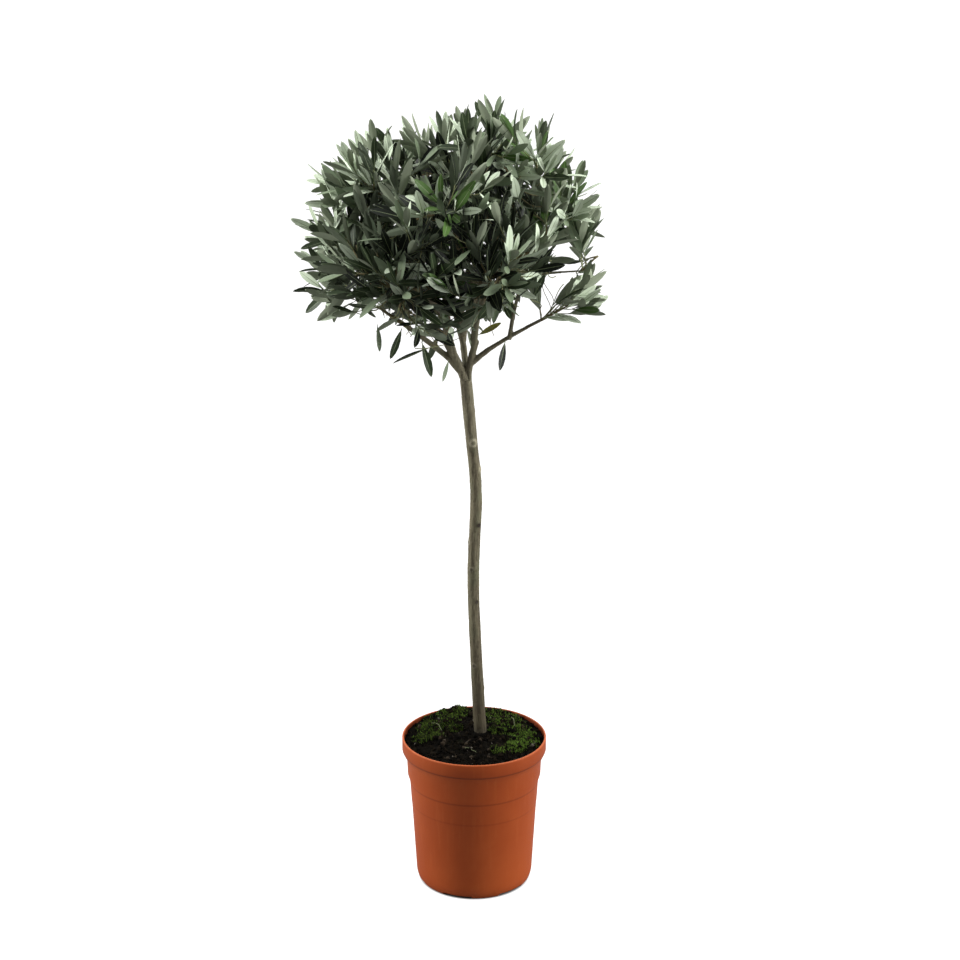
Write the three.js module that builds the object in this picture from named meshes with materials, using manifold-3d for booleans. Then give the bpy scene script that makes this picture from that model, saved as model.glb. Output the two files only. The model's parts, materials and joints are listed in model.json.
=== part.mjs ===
// A potted olive tree grown as a standard: a dense round crown on one clear stem, in a plastic
// nursery pot filled with compost. Millimetres, +Z up, the front is -Y, and the origin is the
// centre of the pot's underside.
import * as THREE from 'three';
import Module from 'manifold-3d';
import { mergeVertices } from 'three/addons/utils/BufferGeometryUtils.js';
import { ImprovedNoise } from 'three/addons/math/ImprovedNoise.js';

const wasm = await Module();
wasm.setup();

const GAP = 0.3;                 // clear space between neighbouring solids
const SEGMENTS = 32;             // sides of the round pot and of the compost in it

// The pot: a rolled collar, a neck, a shoulder crease and a tapering wall on a notched foot ring.
const RIM_RADIUS = 105;
const POT_HEIGHT = 224;
const POT_WALL = 2.6;
const COLLAR_DEPTH = 20.5;
const COLLAR_EDGE = 1.6;         // rounding of the collar's edges
const NECK_RADIUS = 97.2;
const NECK_FLARE = 1;            // the neck widens by this much up to the collar
const NECK_TOP = 190.5;
const NECK_FOOT = 167;
const SHOULDER_RADIUS = 94;
const SHOULDER_HEIGHT = 156;
const HEEL_RADIUS = 85.4;        // where the wall starts to curl in to the foot
const HEEL_HEIGHT = 20;
const FOOT_RADIUS = 78;
const FOOT_RING = 9;             // width of the ring that the pot stands on
const DRAIN_RADIUS = 52;         // inner edge of the raised drain channel
const DRAIN_HEIGHT = 5;
const NOTCHES = 6;
const NOTCH_WIDTH = 44;
const NOTCH_TURN = -108;         // degrees from +X of the notch nearest the front

// The compost: its top is uneven, lowest at the front wall and flat under the stem.
const GROUND = 222;              // height of the flat cut under the stem
const WALL_LEVEL = 215;          // mean height of the compost at the wall
const WALL_TILT = 5;             // the compost is this much higher at the back, lower in front
const FOOT_FLAT = 27;            // radius of the flat patch under the stem
const COMPOST_RINGS = 4;

// The stem: centre line from just under the flat cut to the fork, with a slight double bend.
const STEM_LINE = [[9.4, 18, GROUND - 8], [3.5, 14, 337], [-1, 10, 470], [3.2, 6, 595],
  [-3, 2, 672], [-11, 0, 759]];
const STEM_RADIUS = [9.2, 8.2];  // at the ground and under the fork
const FLARE = 5.5;               // how far the root flare stands out at the ground
const FLARE_HEIGHT = 15;         // height over which the flare dies away
const FORK_SWELL = 2.2;          // the stem widens again into its fork

// Masses of leaves: centre, then half-sizes across, front to back, and in height.
const MASSES = {
  top: { at: [8, 0, 1059], half: [92, 92, 94] },
  upper_left: { at: [-116, -10, 1022], half: [95, 94, 90] },
  upper_right: { at: [74, 6, 1022], half: [74, 92, 84] },
  upper_front: { at: [-34, -110, 1002], half: [90, 88, 86] },
  upper_back: { at: [-34, 116, 1008], half: [94, 92, 90] },
  left: { at: [-166, 0, 950], half: [81, 90, 72] },
  front_left: { at: [-108, -116, 930], half: [84, 84, 72] },
  front_right: { at: [36, -114, 938], half: [84, 84, 72] },
  right: { at: [106, 18, 975], half: [76, 84, 59] },
  back_right: { at: [48, 124, 934], half: [76, 86, 74] },
  back_left: { at: [-116, 120, 930], half: [86, 86, 74] },
  lower_left: { at: [-136, -14, 872], half: [76, 76, 44] },
  lower_front: { at: [-34, -82, 848], half: [78, 64, 46] },
  lower_right: { at: [130, -20, 870], half: [56, 54, 32] },
  outer_right: { at: [164, -16, 932], half: [24, 40, 40] },
  lower_back: { at: [-34, 94, 854], half: [86, 68, 48] },
};
const HEART = new THREE.Vector3(-22, 4, 862);   // middle of the open space among the boughs
const HEART_RADIUS = 44;
const MASS_GAP = 1.2;            // clear space between two masses
const LUMP = 0.13;               // how uneven a mass is, as a share of its size
const LUMP_SIZE = 2.1;           // lumps to a mass's radius
const MASS_DETAIL = 3;

// Limbs above the fork: the limb each one grows from, how far along that, where it leads (a
// point, or the mass of the same name), its radii, and how steeply it climbs before it turns out.
const LIMBS = {
  leader_left: { from: 'stem', at: 0.965, to: [-34, -4, 808], radii: [6.8, 5.6], climb: 0.5 },
  leader_right: { from: 'stem', at: 0.965, to: [2, -4, 812], radii: [5.6, 4.8], climb: 0.8 },
  leader_back: { from: 'stem', at: 0.975, to: [-16, 26, 814], radii: [5.4, 4.6], climb: 0.6 },
  bough_lower_left: { from: 'leader_left', at: 0.55, radii: [4.6, 2.8], climb: 0.05 },
  bough_left: { from: 'leader_left', at: 0.96, radii: [4.2, 2.6], climb: 0.75 },
  bough_front_left: { from: 'leader_left', at: 0.92, radii: [4.2, 2.6], climb: 0.6 },
  bough_upper_left: { from: 'leader_left', at: 0.99, radii: [4.4, 2.6], climb: 1 },
  bough_lower_front: { from: 'leader_left', at: 0.75, radii: [3.4, 2.4], climb: 0.2 },
  bough_lower_right: { from: 'leader_right', at: 0.6, radii: [3.8, 2.2], climb: 0.1 },
  bough_front_right: { from: 'leader_right', at: 0.9, radii: [4.0, 2.6], climb: 0.55 },
  bough_right: { from: 'bough_lower_right', at: 0.42, radii: [2.9, 2.2], climb: 0.55 },
  bough_outer_right: { from: 'bough_right', at: 0.5, to: [152, -14, 917], radii: [2.2, 1.6],
    climb: 0.1 },
  bough_upper_right: { from: 'leader_right', at: 0.97, radii: [4.0, 2.6], climb: 0.9 },
  bough_upper_front: { from: 'leader_right', at: 0.99, radii: [4.0, 2.6], climb: 0.95 },
  bough_top: { from: 'leader_right', at: 0.99, radii: [4.2, 2.6], climb: 1 },
  bough_lower_back: { from: 'leader_back', at: 0.7, radii: [3.6, 2.4], climb: 0.2 },
  bough_back_left: { from: 'leader_back', at: 0.92, radii: [4.0, 2.6], climb: 0.55 },
  bough_back_right: { from: 'leader_back', at: 0.95, radii: [4.0, 2.6], climb: 0.55 },
  bough_upper_back: { from: 'leader_back', at: 0.99, radii: [4.2, 2.6], climb: 0.9 },
};
const COLLAR_SWELL = 0.3;        // a limb is this much thicker where it leaves its parent
const LIMB_SIDES = 6;
const LIMB_STEPS = 5;
const STEM_SIDES = 10;
const STEM_STEPS = 18;

const terracotta = new THREE.MeshStandardMaterial({ color: 0xa4532f, roughness: 0.55 });
const compost = new THREE.MeshStandardMaterial({ color: 0x1d1711, roughness: 0.95 });
const bark = new THREE.MeshStandardMaterial({ color: 0x736955, roughness: 0.85 });
const foliage = new THREE.MeshStandardMaterial({ color: 0x5f7358, roughness: 0.6 });

const tree = new THREE.Group();

function addPart(name, geometry, material) {
  const part = new THREE.Mesh(geometry, material);
  part.name = name;
  tree.add(part);
}

// One closed body with shared corners and no empty triangles.
function welded(geometry) {
  geometry.deleteAttribute('normal');
  geometry.deleteAttribute('uv');
  const whole = mergeVertices(geometry);
  const corners = whole.index.array;
  const kept = [];
  for (let i = 0; i < corners.length; i += 3) {
    const [a, b, c] = corners.slice(i, i + 3);
    if (a !== b && b !== c && c !== a) kept.push(a, b, c);
  }
  whole.setIndex(kept);
  return whole;
}

function toSolid(geometry) {
  const { position } = geometry.attributes;
  return new wasm.Manifold(new wasm.Mesh({
    numProp: 3,
    vertProperties: Float32Array.from(position.array),
    triVerts: Uint32Array.from(geometry.index.array),
  }));
}

function toGeometry(solid) {
  const mesh = solid.getMesh();
  const geometry = new THREE.BufferGeometry();
  geometry.setAttribute('position', new THREE.BufferAttribute(mesh.vertProperties, 3));
  geometry.setIndex(new THREE.BufferAttribute(mesh.triVerts, 1));
  return geometry;
}

// Turned about the upright axis from a profile of [radius, height] points, axis to axis.
function turned(profile) {
  const points = profile.map(([radius, height]) => new THREE.Vector2(radius, height));
  const geometry = new THREE.LatheGeometry(points, SEGMENTS);
  return welded(geometry.rotateX(Math.PI / 2));
}

// ---- Pot ----
// The line that the inside of the wall follows, from the floor's middle up to the rim, moved
// inward by the given distance.
function insideLine(inset) {
  const inner = (radius) => radius - POT_WALL - inset;
  return [
    [0, POT_WALL + inset],
    [DRAIN_RADIUS - POT_WALL - inset, POT_WALL + inset],
    [DRAIN_RADIUS - inset, DRAIN_HEIGHT + POT_WALL + inset],
    [inner(FOOT_RADIUS), DRAIN_HEIGHT + POT_WALL + inset],
    [inner(HEEL_RADIUS - 1), DRAIN_HEIGHT + POT_WALL + 6],
    [inner(HEEL_RADIUS), HEEL_HEIGHT],
    [inner(SHOULDER_RADIUS), SHOULDER_HEIGHT],
    [inner(NECK_RADIUS), NECK_FOOT],
    [inner(NECK_RADIUS + NECK_FLARE), NECK_TOP - POT_WALL],
    [inner(RIM_RADIUS - 0.6), POT_HEIGHT - COLLAR_DEPTH],
  ];
}

function potProfile() {
  const inside = insideLine(0);
  const lipInner = RIM_RADIUS - POT_WALL;
  const collarFoot = POT_HEIGHT - COLLAR_DEPTH;
  const outside = [
    [0, 0],
    [DRAIN_RADIUS, 0],
    [DRAIN_RADIUS + POT_WALL, DRAIN_HEIGHT],
    [FOOT_RADIUS - FOOT_RING, DRAIN_HEIGHT],
    [FOOT_RADIUS - FOOT_RING + 1, 0],
    [FOOT_RADIUS, 0],
  ];
  const heelSteps = 3;
  for (let i = 1; i <= heelSteps; i++) {
    const turn = (i / heelSteps) * Math.PI / 2;
    outside.push([
      FOOT_RADIUS + (HEEL_RADIUS - FOOT_RADIUS) * Math.sin(turn),
      HEEL_HEIGHT * (1 - Math.cos(turn)),
    ]);
  }
  outside.push(
    [SHOULDER_RADIUS, SHOULDER_HEIGHT],
    [NECK_RADIUS, NECK_FOOT],
    [NECK_RADIUS + NECK_FLARE, NECK_TOP],
    [RIM_RADIUS - 0.6, collarFoot],
    [RIM_RADIUS, collarFoot + COLLAR_EDGE],
    [RIM_RADIUS, POT_HEIGHT - COLLAR_EDGE],
    [RIM_RADIUS - COLLAR_EDGE, POT_HEIGHT],
    [lipInner + 0.4, POT_HEIGHT],
    [lipInner, POT_HEIGHT - 1],
  );
  return outside.concat(inside.reverse());
}

function drainNotches(solid) {
  let cut = solid;
  for (let i = 0; i < NOTCHES; i++) {
    const reach = RIM_RADIUS - DRAIN_RADIUS;
    const notch = new THREE.BoxGeometry(reach, NOTCH_WIDTH, DRAIN_HEIGHT * 2);
    notch.translate(FOOT_RADIUS - FOOT_RING - 4 + reach / 2, 0, 0);
    notch.rotateZ(THREE.MathUtils.degToRad(NOTCH_TURN + (i * 360) / NOTCHES));
    cut = cut.subtract(toSolid(welded(notch)));
  }
  return cut;
}

addPart('pot', toGeometry(drainNotches(toSolid(turned(potProfile())))), terracotta);

// ---- Compost ----
const noise = new ImprovedNoise();

function compostTop(x, y) {
  const [footX, footY] = STEM_LINE[0];
  const fromStem = Math.hypot(x - footX, y - footY);
  if (fromStem < FOOT_FLAT) return GROUND - GAP;
  const out = Math.hypot(x, y) / RIM_RADIUS;
  const level = THREE.MathUtils.lerp(GROUND, WALL_LEVEL + WALL_TILT * (y / RIM_RADIUS), out ** 2);
  return level + 3 * noise.noise(x / 24, y / 24, 5.3);
}

function compostSolid() {
  const line = insideLine(GAP);
  const below = line.filter(([, height]) => height < WALL_LEVEL - 2 * WALL_TILT);
  const wallRadius = RIM_RADIUS - POT_WALL - 0.6 - GAP;
  const top = [];
  for (let i = 0; i <= COMPOST_RINGS; i++) {
    top.push([wallRadius * (1 - i / COMPOST_RINGS), WALL_LEVEL]);
  }
  const geometry = turned(below.concat(top));
  const place = geometry.attributes.position;
  for (let i = 0; i < place.count; i++) {
    if (place.getZ(i) === WALL_LEVEL) place.setZ(i, compostTop(place.getX(i), place.getY(i)));
  }
  return geometry;
}

addPart('compost', compostSolid(), compost);

// ---- Masses of leaves ----
const vector = (list) => new THREE.Vector3(...list);

function ellipsoidReach(half, direction) {
  return 1 / vector(half.map((size, axis) => direction.getComponent(axis) / size)).length();
}

// Planes that bound a mass: halfway to each neighbour in proportion to the two sizes, and
// clear of the open heart of the crown. Each is a direction and a distance from the centre.
function boundsOf(name) {
  const { at, half } = MASSES[name];
  const centre = vector(at);
  const toHeart = HEART.clone().sub(centre);
  const planes = [{ facing: toHeart.clone().normalize(), away: toHeart.length() - HEART_RADIUS }];
  for (const [other, { at: otherAt, half: otherHalf }] of Object.entries(MASSES)) {
    if (other === name) continue;
    const across = vector(otherAt).sub(centre);
    const facing = across.clone().normalize();
    const mine = ellipsoidReach(half, facing);
    const theirs = ellipsoidReach(otherHalf, facing);
    const away = (across.length() * mine) / (mine + theirs) - MASS_GAP / 2;
    planes.push({ facing, away });
  }
  return planes;
}

function massSolid(name, grow = 0) {
  const { at, half } = MASSES[name];
  const centre = vector(at);
  const planes = boundsOf(name);
  const geometry = welded(new THREE.IcosahedronGeometry(1, MASS_DETAIL));
  const place = geometry.attributes.position;
  for (let i = 0; i < place.count; i++) {
    const direction = new THREE.Vector3().fromBufferAttribute(place, i).normalize();
    const spot = direction.clone().multiplyScalar(LUMP_SIZE).add(centre);
    const lump = 1 + LUMP * noise.noise(spot.x, spot.y, spot.z);
    let reach = ellipsoidReach(half, direction) * lump;
    for (const { facing, away } of planes) {
      const toward = direction.dot(facing);
      if (toward > 0) reach = Math.min(reach, away / toward);
    }
    direction.multiplyScalar(reach + grow).add(centre);
    place.setXYZ(i, direction.x, direction.y, direction.z);
  }
  return geometry;
}

for (const name of Object.keys(MASSES)) addPart(`foliage_${name}`, massSolid(name), foliage);

// ---- Stem and limbs ----
// A straight cylinder laid along a curve: radiusAt gives the radius for a share of the length
// and a turn about the centre line.
function alongCurve(curve, radiusAt, sides, steps) {
  const tube = new THREE.CylinderGeometry(1, 1, 1, sides, steps);
  const place = tube.attributes.position;
  const chord = curve.getPoint(1).sub(curve.getPoint(0));
  const level = new THREE.Vector3(-chord.y, chord.x, 0).normalize();
  for (let i = 0; i < place.count; i++) {
    const share = THREE.MathUtils.clamp(place.getY(i) + 0.5, 0, 1);
    const onward = curve.getTangentAt(share);
    const side = level.clone().addScaledVector(onward, -level.dot(onward)).normalize();
    const third = side.clone().cross(onward);
    const [x, z] = [place.getX(i), place.getZ(i)];
    const radius = radiusAt(share, Math.atan2(z, x));
    const spot = curve.getPointAt(share);
    spot.addScaledVector(side, x * radius).addScaledVector(third, z * radius);
    place.setXYZ(i, spot.x, spot.y, spot.z);
  }
  return welded(tube);
}

const curves = { stem: new THREE.CatmullRomCurve3(STEM_LINE.map(vector)) };

function stemSolid(grow) {
  const length = curves.stem.getLength();
  const radiusAt = (share, turn) => {
    const height = share * length;
    const taper = THREE.MathUtils.lerp(...STEM_RADIUS, share);
    const flare = FLARE * Math.exp(-height / FLARE_HEIGHT) * (1 + 0.3 * Math.cos(3 * turn));
    const swell = FORK_SWELL * Math.exp((height - length) / 22);
    return taper + flare + swell + grow;
  };
  return alongCurve(curves.stem, radiusAt, STEM_SIDES, STEM_STEPS);
}

// Out of the parent at an angle, a climb, and then a sweep out to where the limb leads.
function limbCurve(name) {
  const { from, at, to, climb } = LIMBS[name];
  const start = curves[from].getPointAt(at);
  const end = vector(to ?? MASSES[name.replace('bough_', '')].at);
  const reach = end.clone().sub(start);
  const rising = new THREE.Vector3(0, 0, reach.length() * climb * 0.6);
  const first = start.clone().addScaledVector(reach, 0.3 * (1 - climb)).add(rising);
  const second = start.clone().addScaledVector(reach, 0.62).addScaledVector(rising, 0.35);
  return new THREE.CubicBezierCurve3(start, first, second, end);
}

function limbSolid(name, grow) {
  const [thick, thin] = LIMBS[name].radii;
  const radiusAt = (share) => {
    const collar = 1 + COLLAR_SWELL * Math.exp(-share * 12);
    return THREE.MathUtils.lerp(thick, thin, share) * collar + grow;
  };
  return alongCurve(curves[name], radiusAt, LIMB_SIDES, LIMB_STEPS);
}

// What is left of a limb after the limbs and masses that it meets: its biggest single body.
function trimmed(solid, cutters) {
  let left = solid;
  for (const cutter of cutters) left = left.subtract(cutter);
  const bodies = left.decompose();
  return bodies.reduce((best, body) => (body.volume() > best.volume() ? body : best));
}

// Cut flat at the ground, so that the stem stands level on the compost.
function cutAtGround(solid) {
  const below = new THREE.BoxGeometry(POT_HEIGHT, POT_HEIGHT, POT_HEIGHT);
  below.translate(0, 0, GROUND - POT_HEIGHT / 2);
  return solid.subtract(toSolid(welded(below)));
}

addPart('stem', toGeometry(cutAtGround(toSolid(stemSolid(0)))), bark);
const obstacles = [toSolid(stemSolid(GAP))];
const grownMasses = Object.keys(MASSES).map((name) => toSolid(massSolid(name, GAP * 1.2)));
for (const name of Object.keys(LIMBS)) {
  curves[name] = limbCurve(name);
  const cutters = obstacles.concat(grownMasses);
  addPart(name, toGeometry(trimmed(toSolid(limbSolid(name, 0)), cutters)), bark);
  obstacles.push(toSolid(limbSolid(name, GAP)));
}

export default tree;
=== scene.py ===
import json
from math import atan2, cos, exp, hypot, pi, radians, sin

import bmesh
import bpy
import numpy as np
from mathutils import Matrix, Vector, noise
from mathutils.bvhtree import BVHTree

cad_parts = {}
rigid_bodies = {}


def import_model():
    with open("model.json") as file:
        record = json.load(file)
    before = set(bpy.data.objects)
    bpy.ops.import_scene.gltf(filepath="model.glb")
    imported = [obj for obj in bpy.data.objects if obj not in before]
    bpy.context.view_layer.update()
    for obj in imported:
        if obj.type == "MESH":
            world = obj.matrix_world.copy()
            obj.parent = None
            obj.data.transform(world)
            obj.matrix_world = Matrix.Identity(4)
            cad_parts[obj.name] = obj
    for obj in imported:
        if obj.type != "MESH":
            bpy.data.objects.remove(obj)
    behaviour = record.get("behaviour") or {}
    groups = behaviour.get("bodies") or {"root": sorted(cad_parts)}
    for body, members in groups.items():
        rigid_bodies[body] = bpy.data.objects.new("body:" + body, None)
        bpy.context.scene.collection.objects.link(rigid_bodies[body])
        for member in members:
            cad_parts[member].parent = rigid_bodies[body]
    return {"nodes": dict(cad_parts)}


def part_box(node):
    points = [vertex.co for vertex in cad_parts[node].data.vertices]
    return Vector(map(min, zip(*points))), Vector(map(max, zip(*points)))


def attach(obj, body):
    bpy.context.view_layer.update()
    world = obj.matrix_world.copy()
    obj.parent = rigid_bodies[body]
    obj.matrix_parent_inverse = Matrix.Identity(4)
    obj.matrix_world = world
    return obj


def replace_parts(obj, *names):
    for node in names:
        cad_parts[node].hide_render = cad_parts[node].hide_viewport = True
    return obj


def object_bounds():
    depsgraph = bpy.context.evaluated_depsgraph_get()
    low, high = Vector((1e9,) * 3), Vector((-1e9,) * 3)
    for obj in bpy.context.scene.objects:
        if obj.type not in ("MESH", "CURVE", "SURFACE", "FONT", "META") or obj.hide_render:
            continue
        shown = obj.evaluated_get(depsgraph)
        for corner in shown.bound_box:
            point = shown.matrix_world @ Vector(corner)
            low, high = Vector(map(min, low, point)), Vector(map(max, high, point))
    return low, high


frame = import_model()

cad_box = [list(corner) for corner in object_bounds()]
studio = bpy.context.scene


# ---------------------------------------------------------------------------------------------
# The studio: a pale floor that runs into a white room, a soft light on each side, a wide one
# overhead, and a camera a little above the crown that looks down on the pot.
camera_data = bpy.data.cameras.new("camera")
camera_data.lens = 81.3
camera_data.sensor_width = 36
camera = bpy.data.objects.new("camera", camera_data)
camera.location = (0.0086, -2.9, 1.540)
look_down = 17.7                 # degrees
camera.rotation_euler = (radians(90 - look_down), 0, 0)
studio.collection.objects.link(camera)
studio.camera = camera

room = bpy.data.worlds.new("white_room")
room.use_nodes = True
nodes, links = room.node_tree.nodes, room.node_tree.links
way = nodes.new("ShaderNodeTexCoord")
parts = nodes.new("ShaderNodeSeparateXYZ")
glow = nodes.new("ShaderNodeMapRange")
glow.inputs["From Min"].default_value = -1
glow.inputs["To Min"].default_value = 0.19
glow.inputs["To Max"].default_value = 1.50
links.new(way.outputs["Generated"], parts.inputs[0])
links.new(parts.outputs["Y"], glow.inputs["Value"])
links.new(glow.outputs["Result"], nodes["Background"].inputs["Strength"])
nodes["Background"].inputs["Color"].default_value = (1, 1, 1, 1)
studio.world = room
studio.view_settings.view_transform = "Standard"


def softbox(name, place, aim, width, height, power):
    """An area light of the given size in metres, turned towards a point."""
    data = bpy.data.lights.new(name, "AREA")
    data.shape = "RECTANGLE"
    data.size = width
    data.size_y = height
    data.energy = power
    light = bpy.data.objects.new(name, data)
    light.location = place
    light.rotation_euler = (Vector(aim) - Vector(place)).to_track_quat("-Z", "Y").to_euler()
    studio.collection.objects.link(light)


softbox("light_left", (-2.2, 0.0, 1.6), (0, 0, 0.75), 0.9, 2.0, 95)
softbox("light_right", (2.1, -0.5, 1.5), (0, 0, 0.7), 0.9, 2.0, 90)
softbox("light_above", (0, 0.6, 3.2), (0, 0, 0.9), 2.4, 1.6, 46)

floor_mesh = bpy.data.meshes.new("floor")
bm = bmesh.new()
bmesh.ops.create_grid(bm, x_segments=1, y_segments=1, size=40)
bm.to_mesh(floor_mesh)
bm.free()
floor = bpy.data.objects.new("floor", floor_mesh)
studio.collection.objects.link(floor)
# The floor glows white to the camera alone, and only beyond the pot's foot, so it lights nothing.
floor_paint = bpy.data.materials.new("floor_paint")
floor_paint.use_nodes = True
nodes, links = floor_paint.node_tree.nodes, floor_paint.node_tree.links
paint = nodes["Principled BSDF"]
paint.inputs["Base Color"].default_value = (0.2, 0.2, 0.2, 1)
paint.inputs["Roughness"].default_value = 0.8
paint.inputs["Emission Color"].default_value = (1, 1, 1, 1)
far = nodes.new("ShaderNodeVectorMath")
far.operation = "LENGTH"
links.new(nodes.new("ShaderNodeTexCoord").outputs["Object"], far.inputs[0])
clear = nodes.new("ShaderNodeMapRange")
clear.inputs["From Min"].default_value = 0.0785
clear.inputs["From Max"].default_value = 0.083
clear.inputs["To Max"].default_value = 0.90
links.new(far.outputs["Value"], clear.inputs["Value"])
white = nodes.new("ShaderNodeMath")
white.operation = "MULTIPLY"
links.new(nodes.new("ShaderNodeLightPath").outputs["Is Camera Ray"], white.inputs[0])
links.new(clear.outputs["Result"], white.inputs[1])
links.new(white.outputs[0], paint.inputs["Emission Strength"])
floor_mesh.materials.append(floor_paint)


# ---------------------------------------------------------------------------------------------
# The pot: one thin shell of terracotta-coloured polypropylene, injection moulded. It has a deep
# collar at the rim, a neck under it, a shoulder crease, a tapering wall and a notched foot ring.
rim_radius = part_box("pot")[1].x
pot_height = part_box("pot")[1].z
pot_wall = 0.0026
collar_depth = 0.0205
collar_round = 0.0014
neck_foot = (0.0972, 0.167)
neck_top = (0.0982, 0.1905)
shoulder = (0.0940, 0.156)
step_above = (0.0919, 0.1235)
step_below = (0.0915, 0.1220)
heel = (0.0854, 0.020)
foot_radius = 0.078
foot_ring = 0.009
drain_radius = 0.052
drain_height = 0.005
notch_count = 6
notch_width = 0.044
first_notch = radians(-108)
pot_sides = 128


def quarter(centre, radius_x, radius_z, start, steps):
    """Points of a quarter turn, anticlockwise from the start angle in degrees."""
    turns = [radians(start + 90 * i / steps) for i in range(steps + 1)]
    return [(centre[0] + radius_x * cos(t), centre[1] + radius_z * sin(t)) for t in turns]


def new_piece(name, bm, material):
    """A bmesh as an object of the scene at the origin, with smooth faces."""
    mesh = bpy.data.meshes.new(name)
    bm.to_mesh(mesh)
    bm.free()
    mesh.shade_smooth()
    mesh.materials.append(material)
    piece = bpy.data.objects.new(name, mesh)
    studio.collection.objects.link(piece)
    return piece


def turned(profile, sides):
    """A bmesh turned about the upright axis from (radius, height) points, axis to axis."""
    bm = bmesh.new()
    line = [bm.verts.new((radius, 0, height)) for radius, height in profile]
    edges = [bm.edges.new(pair) for pair in zip(line, line[1:])]
    bmesh.ops.spin(bm, geom=line + edges, cent=(0, 0, 0), axis=(0, 0, 1), angle=2 * pi,
                   steps=sides, use_merge=True)
    bmesh.ops.remove_doubles(bm, verts=bm.verts, dist=1e-6)
    bmesh.ops.recalc_face_normals(bm, faces=bm.faces)
    return bm


class Wire:
    """One output socket of a material's nodes, so that shader sums read as ordinary sums."""

    tree = None

    def __init__(self, socket):
        self.socket = socket

    @classmethod
    def node(cls, kind, settings=(), sockets=(), output=0):
        made = cls.tree.nodes.new(kind)
        for name, value in dict(settings).items():
            setattr(made, name, value)
        for name, value in dict(sockets).items():
            if isinstance(value, Wire):
                cls.tree.links.new(value.socket, made.inputs[name])
            else:
                made.inputs[name].default_value = value
        return cls(made.outputs[output])

    def maths(self, operation, left, right=0.0):
        return self.node("ShaderNodeMath", {"operation": operation}, {0: left, 1: right})

    def __add__(self, other):
        return self.maths("ADD", self, other)

    def __sub__(self, other):
        return self.maths("SUBTRACT", self, other)

    def __rsub__(self, other):
        return self.maths("SUBTRACT", other, self)

    def __mul__(self, other):
        return self.maths("MULTIPLY", self, other)

    __radd__ = __add__
    __rmul__ = __mul__

    def above(self, low, high):
        """0 under low, 1 over high and a soft step between."""
        return self.node("ShaderNodeMapRange", {"interpolation_type": "SMOOTHSTEP"},
                         {"Value": self, "From Min": low, "From Max": high})


def object_place(scale=(1, 1, 1)):
    """The place on the piece in metres, stretched by the scale."""
    place = Wire.node("ShaderNodeTexCoord", output=3)
    return Wire.node("ShaderNodeMapping", {}, {"Vector": place, "Scale": scale})


def cloud(place, scale, detail=3.0, roughness=0.55):
    """Soft noise from 0 to 1."""
    return Wire.node("ShaderNodeTexNoise", {}, {"Vector": place, "Scale": scale, "Detail": detail,
                                                "Roughness": roughness})


def blend(mask, first, second):
    """The first colour where the mask is 0, the second where it is 1."""
    return Wire.node("ShaderNodeMix", {"data_type": "RGBA"}, {0: mask, 6: first, 7: second},
                     output=2)


def finish_material(colour, roughness, height=None, bump=0.0, specular=0.5):
    """Ends the material being made: its colour and roughness, and a height in metres."""
    shader = Wire.tree.nodes["Principled BSDF"]
    sockets = {"Base Color": colour, "Roughness": roughness}
    if height is not None:
        sockets["Normal"] = Wire.node("ShaderNodeBump", {}, {"Height": height, "Distance": bump})
    for socket, value in sockets.items():
        if isinstance(value, Wire):
            Wire.tree.links.new(value.socket, shader.inputs[socket])
        else:
            shader.inputs[socket].default_value = value
    shader.inputs["Specular IOR Level"].default_value = specular


def new_material(name):
    material = bpy.data.materials.new(name)
    material.use_nodes = True
    Wire.tree = material.node_tree
    return material


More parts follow.
